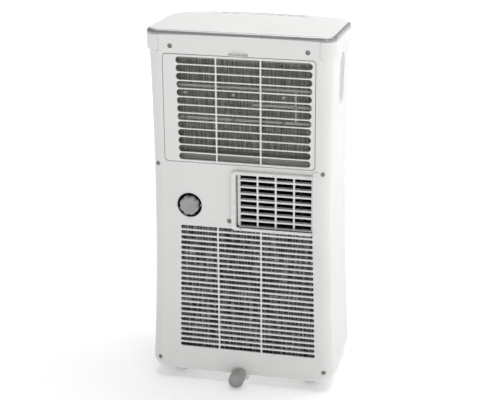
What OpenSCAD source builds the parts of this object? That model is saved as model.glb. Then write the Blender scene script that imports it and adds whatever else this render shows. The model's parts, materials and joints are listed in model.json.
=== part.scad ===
// Portable air conditioner on castors, seen from its hose side along -Y.
// Origin: middle of the footprint on the floor. +Z up, rear (hose side) +Y, front -Y.

/* [Body] */
// Width across the foot of the casing
foot_w = 358; // [352:1:364]
// Width across the narrowest part of the casing
waist_w = 333; // [330:1:340]
// Width of the casing just under the top cover
crown_w = 340; // [336:1:346]
// Depth from the bowed front to the flat rear
body_d = 235; // [233:1:240]
// How far the front bows out past its corners
bow = 22; // [16:1:28]
// Wall thickness of the casings
wall = 3; // [2.5:0.1:3.5]

/* [Heights] */
// Floor to the underside of the base
base_z = 20; // [19:0.5:22]
// Floor to the narrowest part of the casing
waist_z = 420; // [380:5:460]
// Floor to the lower edge of the top cover
skirt_z = 651; // [650:0.5:653]
// Floor to the underside of the trim ring
deck_z = 681; // [680:0.5:683]
// Height of the trim ring
trim_h = 8; // [7:0.5:9]
// Height of the domed lid over the trim ring
dome_h = 6; // [5:0.5:7]
// How far the top comes down from the rear to the front
top_fall = 16.5; // [14:0.5:18]

/* [Grilles] */
// Distance between rows of the filter grille
filter_pitch = 15.08; // [14.9:0.02:15.2]
// Rows in the filter grille
filter_rows = 13; // [11:1:13]
// Distance between rows of the lower grille
coil_pitch = 10.53; // [10.3:0.01:10.6]
// Rows in the lower grille
coil_rows = 24; // [20:1:24]
// Rows in the exhaust grille
exhaust_rows = 8; // [6:1:9]

/* [Castors] */
// Radius of each castor wheel
wheel_r = 15; // [14.5:0.5:15]
// Offset from the swivel axis to the wheel axis
trail = 8; // [6:1:9]
// Swivel axis, distance from the middle
castor_x = 128; // [120:1:134]

/* [Controls] */
// Radius of each push button
button_r = 7; // [6:0.5:8]

/* [Hidden] */
$fn = 48;

// The bottom drain cap sticks out of the rear, so the casing sits forward of the middle.
drain_out = 28;
rear_y = (body_d - drain_out) / 2;
front_y = rear_y - body_d;
total_h = deck_z + trim_h + dome_h;
seam_y = rear_y - 153;
gap = 0.4;
eps = 0.5;

rear_r = 24;
front_r = 30;
bow_r = (foot_w * foot_w / 4 + bow * bow) / (2 * bow);
skirt_w = 349.4;
trim_w = 350;
rise_x = 147.5;
profile_steps = 8;
// The trim ring and the skirt's upper edge follow a large arc, level at the rear.
top_arc_r = body_d * body_d / (2 * top_fall);
lid_arc_r = 850;
lid_peak_y = rear_y - 50;
lid_side_fall = 5;

// Filter grille door: a plate in an opening of the rear cover.
door_w = 280;
door_top = 646.5;
door_bottom = 445;
door_gap = 0.8;
door_r = 6;
door_t = 2.5;
door_rim = 6;
filter_top_row = 636.1;
filter_slot_h = 12.6;
// Left and right ends of the three columns of slots, as seen from the front.
filter_columns = [[-134.8, -42], [-39, 40.3], [43.3, 116.1]];
notch_r = 20;
notch_depth = 6;

// Lower grille in front of the condenser.
coil_top_row = 316.1;
coil_slot_h = 7;
coil_columns = [[-137.5, -42.1], [-38.9, 40.2], [43.4, 112.4]];
coil_spread = 6.5;
// Edges of the louvred field.
grille_x0 = coil_columns[0][0] - coil_spread - 2;
grille_x1 = coil_columns[2][1] + coil_spread + 2;
grille_z0 = coil_top_row - (coil_rows - 1) * coil_pitch - coil_slot_h / 2 - 2;
grille_z1 = coil_top_row + coil_slot_h / 2 + 1.5;

// Exhaust outlet and the rails that take the hose adaptor.
exhaust_x0 = -136.5;
exhaust_x1 = 5.6;
exhaust_z0 = 322;
exhaust_z1 = 431;
rail_out = 8;
rail_t = 2.5;
lip_w = 3;
side_lip_w = 5.7;
pad_w = 11;
exhaust_slot_h = 9.4;
exhaust_cols = 4;
exhaust_bar = 3;

// Drains.
drain_x = 95.4;
drain_z = 360;
bowl_r = 23.5;
bowl_depth = 18;
cap_r = 18.5;
spout_r = 10;
spout_bore_r = 8;
low_drain_x = 4;
low_drain_z = 18;
low_cap_r = 15;
stub_r = 11;
stub_bore_r = 8.5;

// Side handles.
handle_y = rear_y - 111;
handle_z = 590;
handle_w = 46;
handle_h = 96;
handle_depth = 24;

// Front outlet, flaps and vanes.
outlet_w = 244;
outlet_z0 = 582;
outlet_z1 = 642;
outlet_frame_t = 3;
flap_y = front_y + 16;
flap_h = 27;
flap_t = 2.4;
flap_pin_r = 2;
flap_z = [(outlet_z0 + outlet_z1) / 2 + 14.2, (outlet_z0 + outlet_z1) / 2 - 14.2];
vane_y = front_y + 48;
vane_xs = [-61, 0, 61];
vane_pin_r = 2;

// Controls on the lid.
panel_w = 190;
panel_y0 = front_y + 26;
panel_y1 = front_y + 72;
panel_t = 2.5;
panel_cy = (panel_y0 + panel_y1) / 2;
panel_half_d = (panel_y1 - panel_y0) / 2;
panel_cz = total_h - pow(lid_peak_y - panel_cy, 2) / (2 * lid_arc_r) - 0.5;
panel_tilt = 9;
button_xs = [-78, -58, -38, 48, 70];
lens_w = 40;
lens_d = 18;

// Screws: place on the rear, x then z.
screw_spots = [[126, 661.3], [-126, 661.3], [155, 437], [-155, 437], [19.4, 334.6], [161, 41], [-161, 41]];
screw_head_r = 3.8;
screw_hole_r = 2;
screw_sink = 2.4;

// Castors.
castor_y = [rear_y - 50, front_y + 58];
castor_spots = [for (y = castor_y, x = [-castor_x, castor_x]) [x, y]];
floor_z = 37;
rim_top = 58;
stem_r = 4;
axle_r = 2.5;
run_fit = 0.05;

// Inner pieces.
coil_y = [rear_y - 45, rear_y - 19];
cond_y = [rear_y - 32, rear_y - 8];
comp_at = [-58, -40];
comp_r = 56;
comp_z = 56;
fan_hi = [0, 530];
fan_hi_r = 52;
fan_lo = [-35, -35];
fan_lo_r = 58;
scroll_t = 2;
shaft_r = 4;

white = "#f2f2f0";
grey = "#9a9a98";
silver = "#b9babb";
dark = "#3a3c3f";

// ---------------------------------------------------------------- shared shapes

// Half of the casing's width at height z: pinched at the waist, flared at the foot.
function half_w(z) = z > waist_z
    ? waist_w / 2 + (crown_w - waist_w) / 2 * pow((z - waist_z) / (skirt_z - waist_z), 2)
    : waist_w / 2 + (foot_w - waist_w) / 2 * pow((waist_z - z) / (waist_z - base_z), 2);

// Points of an arc about c, from angle a0 to a1.
function arc(c, r, a0, a1, n) = [for (k = [0:n])
    let (a = a0 + (a1 - a0) * k / n) c + r * [cos(a), sin(a)]];

function flip(points) = [for (k = [len(points) - 1:-1:0]) [-points[k][0], points[k][1]]];

// Footprint: flat rear with round corners, straight sides, bowed front; in = inward offset.
module plan(half, in = 0) {
    xc = half - front_r;
    bow_cy = front_y + bow_r;
    yc = bow_cy - sqrt(pow(bow_r - front_r, 2) - xc * xc);
    turn = asin(xc / (bow_r - front_r));
    half_bow = arc([0, bow_cy], bow_r - in, -90, turn - 90, 6);
    front_corner = arc([xc, yc], front_r - in, turn - 90, 0, 6);
    rear_corner = arc([half - rear_r, rear_y - rear_r], rear_r - in, 0, 90, 6);
    right = concat([for (k = [1:5]) half_bow[k]], front_corner, rear_corner);
    polygon(concat([half_bow[0]], right, flip(right)));
}

module prism(half, in, z0, z1) {
    translate([0, 0, z0])
        linear_extrude(z1 - z0)
            plan(half, in);
}

// The casing's outer volume from z0 to z1, shrunk by in.
module casing(in, z0, z1) {
    zs = [for (k = [0:profile_steps]) z0 + (z1 - z0) * k / profile_steps];
    right = [for (z = zs) [half_w(z) - in, z]];
    left = [for (k = [profile_steps:-1:0]) [in - half_w(zs[k]), zs[k]]];
    intersection() {
        prism(foot_w / 2, in, z0, z1);
        rotate([90, 0, 0])
            linear_extrude(2 * body_d, center = true)
                polygon(concat(right, left));
    }
}

module casing_shell(t, z0, z1) {
    difference() {
        casing(0, z0, z1);
        casing(t, z0 - eps, z1 + eps);
    }
}

module box(lo, hi) {
    translate(lo)
        cube(hi - lo);
}

// Cylinder along +Y starting at y0.
module rod_y(x, z, y0, y1, r) {
    translate([x, y0, z])
        rotate([-90, 0, 0])
            cylinder(h = y1 - y0, r = r);
}

module rod_x(y, z, x0, x1, r) {
    translate([x0, y, z])
        rotate([0, 90, 0])
            cylinder(h = x1 - x0, r = r);
}

module rod_z(x, y, z0, z1, r) {
    translate([x, y, z0])
        cylinder(h = z1 - z0, r = r);
}

// Rectangle with round corners in the XZ plane, from y0 to y1.
module plate_y(x0, x1, z0, z1, r, y0, y1) {
    translate([0, y1, 0])
        rotate([90, 0, 0])
            linear_extrude(y1 - y0) {
                translate([x0 + r, z0])
                    square([x1 - x0 - 2 * r, z1 - z0]);
                translate([x0, z0 + r])
                    square([x1 - x0, z1 - z0 - 2 * r]);
                for (x = [x0 + r, x1 - r], z = [z0 + r, z1 - r])
                    translate([x, z])
                        circle(r);
            }
}

// Grille slots: rows of slots cut through from y0 to y1, first row at the top.
module slot_rows(columns, rows, top, pitch, h, spread, round_ends, y0, y1) {
    last = len(columns) - 1;
    for (k = [0:rows - 1], c = [0:last]) {
        grow = spread * k / rows;
        x0 = columns[c][0] - (c == 0 ? grow : 0);
        x1 = columns[c][1] + (c == last ? grow : 0);
        z = top - k * pitch;
        cut0 = round_ends && c == 0 ? h / 2 : 0;
        cut1 = round_ends && c == last ? h / 2 : 0;
        box([x0 + cut0, y0, z - h / 2], [x1 - cut1, y1, z + h / 2]);
        if (cut0 > 0)
            rod_y(x0 + cut0, z, y0, y1, h / 2);
        if (cut1 > 0)
            rod_y(x1 - cut1, z, y0, y1, h / 2);
    }
}

// ---------------------------------------------------------------- casing

module base_pan() {
    in = wall + gap;
    color(white) difference() {
        union() {
            casing(in, floor_z, floor_z + wall);
            difference() {
                casing(in, base_z, rim_top);
                casing(in + 2.5, base_z - eps, rim_top + eps);
            }
            for (spot = castor_spots)
                rod_z(spot[0], spot[1], floor_z, rim_top, stem_r + 4);
            box([low_drain_x - 16, rear_y - 44, 6], [low_drain_x + 16, rear_y - 8, floor_z + wall]);
            rod_y(low_drain_x, low_drain_z, rear_y - 20, rear_y + 6, stub_r);
        }
        for (spot = castor_spots)
            rod_z(spot[0], spot[1], floor_z - eps, rim_top - 4, stem_r + run_fit);
        box([low_drain_x - 13, rear_y - 41, 8.5], [low_drain_x + 13, rear_y - 11, floor_z + wall + eps]);
        rod_y(low_drain_x, low_drain_z, rear_y - 12, rear_y + 7, stub_bore_r);
        for (spot = screw_spots) {
            rod_y(spot[0], spot[1], rear_y - 13, rear_y, screw_hole_r);
            rod_y(spot[0], spot[1], rear_y - screw_sink - 2.8, rear_y, screw_head_r + 0.4);
        }
    }
}

// The wall of the casing behind the seam, between two planes across the depth.
module rear_shell(y0, y1) {
    intersection() {
        casing_shell(wall, base_z, skirt_z);
        box([-200, y0, 0], [200, y1, skirt_z]);
    }
}

module rear_cover() {
    half_door = door_w / 2 + door_gap;
    color(white) difference() {
        union() {
            rear_shell(rear_y - rear_r, rear_y + eps);
            box([-rise_x, rear_y - wall, skirt_z - 1], [rise_x, rear_y, deck_z - 0.2]);
            plate_y(exhaust_x0 - pad_w - 0.5, exhaust_x0 - 0.5, exhaust_z0 - 2, exhaust_z1 + 10, 1.5,
                rear_y - 1, rear_y + 2);
            rod_y(drain_x, drain_z, rear_y - bowl_depth, rear_y - 1, bowl_r + 2);
            box([-notch_r - 3, rear_y - notch_depth - 2, door_top + door_gap],
                [notch_r + 3, rear_y - 1, 666]);
            for (spot = screw_spots)
                if (spot[1] > rim_top)
                    rod_y(spot[0], spot[1], rear_y - 9, rear_y - 2, 5.5);
        }
        plate_y(-half_door, half_door, door_bottom - door_gap, door_top + door_gap, door_r + door_gap,
            rear_y - 12, rear_y + 1);
        intersection() {
            rod_y(0, door_top - 4, rear_y - notch_depth, rear_y + 1, notch_r);
            box([-notch_r, rear_y - notch_depth, door_top], [notch_r, rear_y + 1, 670]);
        }
        box([grille_x0, rear_y - wall - 1, grille_z0], [grille_x1, rear_y + 1, grille_z1]);
        box([exhaust_x0, rear_y - wall - 1, exhaust_z0], [exhaust_x1, rear_y + 1, exhaust_z1]);
        rod_y(drain_x, drain_z, rear_y - bowl_depth + 2, rear_y + 1, bowl_r);
        rod_y(drain_x, drain_z, rear_y - bowl_depth - 1, rear_y, spout_r + 0.2);
        rod_y(low_drain_x, low_drain_z, rear_y - wall - 1, rear_y + 1, low_cap_r + 2);
        for (spot = screw_spots) {
            rod_y(spot[0], spot[1], rear_y - 12, rear_y + 1, screw_hole_r);
            rod_y(spot[0], spot[1], rear_y - screw_sink - 2.2, rear_y + 3, screw_head_r + 0.4);
        }
    }
}

// Side wall between the rear cover's corner and the front case, side = 1 left, -1 right.
module side_panel(side) {
    color(white) difference() {
        intersection() {
            rear_shell(seam_y, rear_y - rear_r);
            box([side > 0 ? 0 : -200, seam_y, 0], [side > 0 ? 200 : 0, rear_y, skirt_z]);
        }
        handle_slots(0.3);
    }
}

module side_panel_left() { side_panel(1); }
module side_panel_right() { side_panel(-1); }

// Louvred field of the rear cover in front of the condenser.
module lower_grille() {
    color(white) difference() {
        box([grille_x0, rear_y - wall, grille_z0], [grille_x1, rear_y, grille_z1]);
        slot_rows(coil_columns, coil_rows, coil_top_row, coil_pitch, coil_slot_h, coil_spread, false,
            rear_y - wall - 1, rear_y + 1);
    }
}

// Stadium-shaped prism through both side walls, for the handle cups; grow widens it.
module handle_slots(grow) {
    r = handle_w / 2 + grow;
    reach = handle_h / 2 - handle_w / 2;
    for (z = [handle_z - reach, handle_z + reach])
        rod_x(handle_y, z, -200, 200, r);
    box([-200, handle_y - r, handle_z - reach], [200, handle_y + r, handle_z + reach]);
}

module front_case() {
    half_open = outlet_w / 2 + outlet_frame_t + gap;
    color(white) difference() {
        intersection() {
            casing_shell(wall, base_z, skirt_z);
            box([-200, front_y - 1, 0], [200, seam_y - gap, skirt_z]);
        }
        box([-half_open, front_y - 1, outlet_z0 - outlet_frame_t - gap],
            [half_open, front_y + 60, outlet_z1 + outlet_frame_t + gap]);
        front_panel_place(1.5, gap);
        rod_x(seam_y - 25, 78, 150, 200, 7.05);
    }
}

// The bowed region that the front panel fills, t deep; grow widens it all round.
module front_panel_place(t, grow) {
    difference() {
        intersection() {
            casing(0, 50, 568);
            box([-136 - grow, front_y - 1, 64 - grow], [136 + grow, front_y + 60, 556 + grow]);
        }
        casing(t, 45, 573);
    }
}

module front_panel() {
    color(white) front_panel_place(1.4, 0);
}

// Everything below the top's large arc, whose rear end is at height z.
module under_arc(z) {
    rod_x(rear_y, z - top_arc_r, -200, 200, top_arc_r, $fn = 720);
}

module top_cover() {
    color(white) difference() {
        intersection() {
            prism(skirt_w / 2, 0, skirt_z + gap, deck_z + 1);
            under_arc(deck_z);
        }
        intersection() {
            prism(skirt_w / 2, wall, skirt_z, deck_z);
            under_arc(deck_z - wall);
        }
        box([-rise_x - gap, rear_y - wall - gap, skirt_z - 1], [rise_x + gap, rear_y + 1, deck_z + 1]);
        box([-150, front_y + 32, skirt_z], [150, rear_y - 40, deck_z + 1]);
    }
}

module trim_ring() {
    color(silver) difference() {
        intersection() {
            prism(trim_w / 2, 0, skirt_z, deck_z + trim_h);
            under_arc(deck_z + trim_h / 2);
        }
        under_arc(deck_z);
        prism(trim_w / 2, 12, skirt_z - 1, total_h);
    }
    color(silver) difference() {
        intersection() {
            prism(trim_w / 2, 2.5, skirt_z, total_h);
            under_arc(deck_z + trim_h);
        }
        under_arc(deck_z + trim_h / 2 - eps);
        prism(trim_w / 2, 12, skirt_z - 1, total_h + 1);
    }
}

module top_panel() {
    side_arc_r = (trim_w * trim_w / 4) / (2 * lid_side_fall);
    rim_z = deck_z + trim_h;
    color(white) difference() {
        union() {
            difference() {
                intersection() {
                    prism(trim_w / 2, 12.3, skirt_z, total_h);
                    under_arc(rim_z + 1);
                }
                under_arc(deck_z);
            }
            difference() {
                intersection() {
                    prism(trim_w / 2, 4, skirt_z, total_h + 1);
                    rod_y(0, total_h - side_arc_r, front_y, rear_y, side_arc_r, $fn = 720);
                    rod_x(lid_peak_y, total_h - lid_arc_r, -200, 200, lid_arc_r, $fn = 720);
                }
                under_arc(rim_z);
            }
        }
        intersection() {
            prism(trim_w / 2, 16, skirt_z - 1, total_h);
            under_arc(rim_z - 1);
        }
        on_lid() {
            box([3 - panel_w / 2, 3 - panel_half_d, -20], [panel_w / 2 - 3, panel_half_d - 3, 10]);
            box([-panel_w / 2 - 0.3, -panel_half_d - 0.3, -panel_t],
                [panel_w / 2 + 0.3, panel_half_d + 0.3, 10]);
        }
    }
}

// Places children on the sloping front of the lid, z = 0 at the control panel's face.
module on_lid() {
    translate([0, panel_cy, panel_cz])
        rotate([panel_tilt, 0, 0])
            children();
}

module control_panel() {
    color(grey) on_lid() difference() {
        box([-panel_w / 2, -panel_half_d, -panel_t], [panel_w / 2, panel_half_d, 0]);
        for (x = button_xs)
            rod_z(x, 0, -panel_t - 1, 1, button_r + 0.3);
        box([-lens_w / 2 - 0.2, -lens_d / 2 - 0.2, -panel_t - 1], [lens_w / 2 + 0.2, lens_d / 2 + 0.2, 1]);
    }
}

module display_window() {
    color(dark) on_lid()
        box([-lens_w / 2, -lens_d / 2, -panel_t], [lens_w / 2, lens_d / 2, 0.3]);
}

module button(x) {
    color(silver) on_lid() {
        rod_z(x, 0, -panel_t - 1.2, 1, button_r);
        rod_z(x, 0, -panel_t - 2.6, -panel_t - 1.2, button_r + 1);
    }
}

module button_power() { button(button_xs[0]); }
module button_mode() { button(button_xs[1]); }
module button_fan() { button(button_xs[2]); }
module button_down() { button(button_xs[3]); }
module button_up() { button(button_xs[4]); }

// ---------------------------------------------------------------- rear fittings

module filter_grille() {
    half = door_w / 2;
    color(white) {
        difference() {
            plate_y(-half, half, door_bottom, door_top, door_r, rear_y - door_rim, rear_y);
            plate_y(-half + 3, half - 3, door_bottom + 3, door_top - 3, 3,
                rear_y - door_rim - 1, rear_y - door_t);
            slot_rows(filter_columns, filter_rows, filter_top_row, filter_pitch, filter_slot_h, -3, true,
                rear_y - door_t - 1, rear_y + 1);
        }
        for (x = [-90, 74])
            box([x, rear_y - 5.5, door_bottom - 4], [x + 16, rear_y - wall - 0.2, door_bottom + 2]);
    }
}

module filter_mesh() {
    half = door_w / 2 - 5;
    color(dark)
        box([-half, rear_y - 8.4, door_bottom + 6], [half, rear_y - door_rim, door_top - 6]);
}

module inner_guard() {
    back = rear_y - 17;
    front = rear_y - 13;
    color(white) {
        difference() {
            box([-143, back, 452], [143, front, 645]);
            box([-134, back - 1, 461], [118, front + 1, 638]);
        }
        for (row = [3, 5, 7])
            box([-134, back, filter_top_row - row * filter_pitch - 8],
                [118, front, filter_top_row - row * filter_pitch - 5]);
        box([-104, back, filter_top_row - 7 * filter_pitch - 8],
            [-100, front, filter_top_row - 3 * filter_pitch - 5]);
    }
}

module exhaust_frame() {
    x0 = exhaust_x0 - 0.3;
    x1 = exhaust_x1 + 8;
    z0 = exhaust_z0 - 2;
    z1 = exhaust_z1 + 3;
    lip0 = rear_y + rail_out - 2;
    color(white) {
        difference() {
            plate_y(x0, x1, z0, z1, 5, rear_y, rear_y + rail_out);
            plate_y(x0 - 20, x1 - rail_t, z0 + rail_t, z1 - rail_t, 3, rear_y - 1, lip0);
            plate_y(x0 - 20, x1 - rail_t - side_lip_w, z0 + rail_t + lip_w, z1 - rail_t - lip_w, 3,
                rear_y - 1, rear_y + rail_out + 1);
        }
    }
}

module exhaust_grille() {
    rows_pitch = (exhaust_z1 - exhaust_z0) / exhaust_rows;
    col_pitch = (exhaust_x1 - exhaust_x0) / exhaust_cols;
    color(white) difference() {
        box([exhaust_x0 + 0.3, rear_y - 6, exhaust_z0 + 0.3],
            [exhaust_x1 - 0.3, rear_y - 0.5, exhaust_z1 - 0.3]);
        for (row = [0:exhaust_rows - 1], col = [0:exhaust_cols - 1]) {
            x = exhaust_x0 + (col + 0.5) * col_pitch;
            z = exhaust_z0 + (row + 0.5) * rows_pitch;
            box([x - (col_pitch - exhaust_bar) / 2, rear_y - 7, z - exhaust_slot_h / 2],
                [x + (col_pitch - exhaust_bar) / 2, rear_y + 1, z + exhaust_slot_h / 2]);
        }
    }
}

module drain_spout() {
    back = rear_y - bowl_depth;
    color(grey) difference() {
        union() {
            rod_y(drain_x, drain_z, back - 22, rear_y - 7, spout_r);
            rod_y(drain_x, drain_z, back - 4, back, spout_r + 4);
        }
        rod_y(drain_x, drain_z, back - 23, rear_y - 6, spout_bore_r);
    }
}

module drain_cap() {
    color(grey) difference() {
        union() {
            rod_y(drain_x, drain_z, rear_y - 6.5, rear_y + 6, cap_r);
            rod_y(drain_x, drain_z, rear_y - 14, rear_y - 6.5, spout_r + 3);
        }
        rod_y(drain_x, drain_z, rear_y - 15, rear_y - 6.6, spout_r + 0.35);
        for (k = [0:7])
            rotate_about(drain_x, drain_z, k * 45)
                rod_y(drain_x, drain_z + cap_r + 3, rear_y - 7, rear_y + 7, 5);
    }
}

// Turns its children about an axis along Y through x, z.
module rotate_about(x, z, angle) {
    translate([x, 0, z])
        rotate([0, angle, 0])
            translate([-x, 0, -z])
                children();
}

module drain_strap() {
    color(grey)
        box([drain_x - bowl_r + 0.2, rear_y - 5, drain_z - 2.5],
            [drain_x - cap_r - 1, rear_y - 3, drain_z + 2.5]);
}

module base_drain_cap() {
    color(grey) difference() {
        union() {
            rod_y(low_drain_x, low_drain_z, rear_y + 1, rear_y + drain_out, low_cap_r - 1);
            rod_y(low_drain_x, low_drain_z, rear_y + 10, rear_y + 20, low_cap_r, $fn = 48);
        }
        rod_y(low_drain_x, low_drain_z, rear_y, rear_y + 14, stub_r + 0.35);
    }
}

module handle_cup() {
    r = handle_w / 2;
    reach = handle_h / 2 - r;
    x1 = half_w(handle_z - handle_h / 2) - 1;
    x0 = x1 - handle_depth;
    color(white) difference() {
        union() {
            for (z = [handle_z - reach, handle_z + reach])
                rod_x(handle_y, z, x0, x1, r);
            box([x0, handle_y - r, handle_z - reach], [x1, handle_y + r, handle_z + reach]);
        }
        for (z = [handle_z - reach, handle_z + reach])
            rod_x(handle_y, z, x0 + 2, x1 + 1, r - 2);
        box([x0 + 2, handle_y - r + 2, handle_z - reach], [x1 + 1, handle_y + r - 2, handle_z + reach]);
    }
}

module handle_cup_left() { handle_cup(); }
module handle_cup_right() { mirror([1, 0, 0]) handle_cup(); }

module cord_gland() {
    y = seam_y - 25;
    x = half_w(78);
    color(dark) difference() {
        union() {
            rod_x(y, 78, x - 14, x + 1, 7);
            rod_x(y, 78, x - 17, x - wall - 2.5, 9);
        }
        rod_x(y, 78, x - 18, x + 2, 3.6);
    }
}

module screws() {
    color(silver)
        for (spot = screw_spots) {
            difference() {
                rod_y(spot[0], spot[1], rear_y - screw_sink - 2.2, rear_y - screw_sink, screw_head_r);
                for (turn = [0, 90])
                    rotate_about(spot[0], spot[1], turn)
                        box([spot[0] - 2.4, rear_y - screw_sink - 1.2, spot[1] - 0.5],
                            [spot[0] + 2.4, rear_y, spot[1] + 0.5]);
            }
            rod_y(spot[0], spot[1], rear_y - 12, rear_y - screw_sink - 2.2, screw_hole_r - 0.2);
        }
}

// ---------------------------------------------------------------- castors

module castor_fork(at) {
    color(dark) translate([at[0], at[1], 0]) {
        rod_z(0, 0, 32, 53, stem_r);
        rod_z(0, 0, wheel_r * 2 + 1.5, 36, 11);
        box([-2.5, 0, wheel_r], [2.5, trail + 5, 34]);
        rod_x(trail, wheel_r, -2.5, 2.5, 6);
        rod_x(trail, wheel_r, -12, 12, axle_r);
    }
}

module castor_wheel(at) {
    color(grey) translate([at[0], at[1], 0])
        for (side = [-1, 1])
            difference() {
                rod_x(trail, wheel_r, side > 0 ? 3 : -11, side > 0 ? 11 : -3, wheel_r);
                rod_x(trail, wheel_r, side > 0 ? 2 : -12, side > 0 ? 12 : -2, axle_r + run_fit);
            }
}

module castor_fork_1() { castor_fork(castor_spots[0]); }
module castor_fork_2() { castor_fork(castor_spots[1]); }
module castor_fork_3() { castor_fork(castor_spots[2]); }
module castor_fork_4() { castor_fork(castor_spots[3]); }
module castor_wheel_1() { castor_wheel(castor_spots[0]); }
module castor_wheel_2() { castor_wheel(castor_spots[1]); }
module castor_wheel_3() { castor_wheel(castor_spots[2]); }
module castor_wheel_4() { castor_wheel(castor_spots[3]); }

// ---------------------------------------------------------------- front outlet

module outlet_frame() {
    half = outlet_w / 2;
    t = outlet_frame_t;
    back = front_y + 66;
    color(white) difference() {
        intersection() {
            box([-half - t, front_y - 1, outlet_z0 - t], [half + t, back, outlet_z1 + t]);
            casing(0.2, outlet_z0 - 20, outlet_z1 + 9);
        }
        box([-half, front_y - 2, outlet_z0], [half, back + 1, outlet_z1]);
        for (z = flap_z)
            rod_x(flap_y, z, -half - t - 1, half + t + 1, flap_pin_r + run_fit);
        for (x = vane_xs)
            rod_z(x, vane_y, outlet_z0 - t - 1, outlet_z1 + t + 1, vane_pin_r + run_fit);
    }
}

module air_flap(z) {
    half = outlet_w / 2;
    color(white) {
        box([-half + 1, flap_y - flap_t / 2, z - flap_h / 2],
            [half - 1, flap_y + flap_t / 2, z + flap_h / 2]);
        rod_x(flap_y, z, -half - 2.5, half + 2.5, flap_pin_r);
    }
}

module air_flap_upper() { air_flap(flap_z[0]); }
module air_flap_lower() { air_flap(flap_z[1]); }

module air_vane(x) {
    color(white) {
        box([x - 1, vane_y - 11, outlet_z0 + 1], [x + 1, vane_y + 11, outlet_z1 - 1]);
        rod_z(x, vane_y, outlet_z0 - 2.5, outlet_z1 + 2.5, vane_pin_r);
    }
}

module air_vane_1() { air_vane(vane_xs[0]); }
module air_vane_2() { air_vane(vane_xs[1]); }
module air_vane_3() { air_vane(vane_xs[2]); }

// ---------------------------------------------------------------- inner pieces

module compressor() {
    x = comp_at[0];
    y = comp_at[1];
    color("#2b2d30") {
        rod_z(x, y, comp_z + 8, 232, comp_r);
        intersection() {
            translate([x, y, 190])
                sphere(r = 70);
            rod_z(x, y, 200, 262, comp_r);
        }
        rod_z(x, y, comp_z, comp_z + 8, comp_r - 8);
        for (k = [0:2])
            translate([x, y, comp_z])
                rotate([0, 0, 120 * k + 30])
                    difference() {
                        translate([0, -14, 0])
                            cube([82, 28, 4]);
                        translate([72, 0, -1])
                            cylinder(h = 6, r = 6.2);
                    }
        rod_z(x + 78, y + 4, 90, 210, 18);
    }
}

module compressor_feet() {
    color(dark)
        for (k = [0:2])
            translate([comp_at[0], comp_at[1], 0])
                rotate([0, 0, 120 * k + 30])
                    translate([72, 0, floor_z + wall]) {
                        cylinder(h = comp_z - floor_z - wall, r = 10);
                        cylinder(h = comp_z - floor_z + 5, r = 6);
                    }
}

module evaporator() {
    color("#8d9092")
        box([-134, coil_y[0], 464], [122, coil_y[1], 640]);
}

module condenser() {
    color("#8d9092")
        box([-146, cond_y[0], 64], [122, cond_y[1], 318]);
}

// U-bends along both ends of the two coils.
module coil_bends() {
    module bends(x, y, z0, count) {
        for (k = [0:count - 1])
            translate([x, y, z0 + k * 30])
                rotate([0, 90, 0])
                    rotate([90, 0, 0])
                        rotate_extrude(angle = 180, $fn = 48)
                            translate([7.5, 0])
                                circle(3.4, $fn = 24);
    }
    color("#b87340") {
        bends(122, (coil_y[0] + coil_y[1]) / 2, 480, 5);
        bends(122, (cond_y[0] + cond_y[1]) / 2, 84, 8);
    }
}

module divider_tray() {
    color(white) difference() {
        box([-150, -60, 440], [129.5, rear_y - 18, 456]);
        box([-147, -57, 443], [126.5, rear_y - 21, 457]);
    }
}

module upper_scroll() {
    x = fan_hi[0];
    z = fan_hi[1];
    color("#d8d8d4") difference() {
        union() {
            rod_y(x, z, -25, 45, 70);
            box([-114, front_y + 68, 578], [114, 45, 645]);
        }
        rod_y(x, z, -25 + scroll_t, 45 - scroll_t, 70 - scroll_t);
        box([-114 + scroll_t, front_y + 60, 578 + scroll_t],
            [114 - scroll_t, 45 - scroll_t, 645 - scroll_t]);
        rod_y(x, z, 40, 46, 46);
        rod_y(x, z, -30, 0, 10);
    }
}

// A drum of blades around the Z axis from z = 0 to h.
module blower_wheel(r, h) {
    difference() {
        union() {
            cylinder(h = 2.5, r = r);
            cylinder(h = h * 0.6, r = 9);
        }
        translate([0, 0, -1])
            cylinder(h = h, r = shaft_r + run_fit);
    }
    translate([0, 0, h - 4])
        difference() {
            cylinder(h = 4, r = r);
            translate([0, 0, -1])
                cylinder(h = 6, r = r - 9);
        }
    for (k = [0:23])
        rotate([0, 0, 15 * k])
            translate([r - 9, -0.7, 2])
                cube([8.5, 1.4, h - 4]);
}

module upper_blower() {
    color(white)
        translate([fan_hi[0], -18, fan_hi[1]])
            rotate([-90, 0, 0])
                blower_wheel(fan_hi_r, 56);
}

module upper_motor() {
    x = fan_hi[0];
    z = fan_hi[1];
    color(dark) {
        rod_y(x, z, -66, -26, 34);
        rod_y(x, z, -27, 12, shaft_r);
        for (turn = [45, 135, 225, 315])
            rotate_about(x, z, turn)
                box([x - 5, -29, z + 30], [x + 5, -26, z + 58]);
    }
}

module lower_scroll() {
    x = fan_lo[0];
    y = fan_lo[1];
    color("#d8d8d4") difference() {
        union() {
            rod_z(x, y, 326, 432, 80);
            box([-115, y, 326], [-2, rear_y - 8, 432]);
        }
        rod_z(x, y, 326 + scroll_t, 432 - scroll_t, 80 - scroll_t);
        box([-115 + scroll_t, y, 326 + scroll_t], [-2 - scroll_t, rear_y, 432 - scroll_t]);
        rod_z(x, y, 320, 332, 48);
    }
}

module lower_blower() {
    color(white)
        translate([fan_lo[0], fan_lo[1], 336])
            blower_wheel(fan_lo_r, 88);
}

module lower_motor() {
    x = fan_lo[0];
    y = fan_lo[1];
    color(dark) {
        rod_z(x, y, 276, 316, 32);
        rod_z(x, y, 315, 384, shaft_r);
        for (turn = [0, 120, 240])
            translate([x, y, 0])
                rotate([0, 0, turn])
                    box([28, -5, 316 - 3], [70, 5, 316]);
        for (turn = [0, 120, 240])
            translate([x, y, 0])
                rotate([0, 0, turn])
                    rod_z(64, 0, 316, 326, 4);
    }
}

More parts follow.
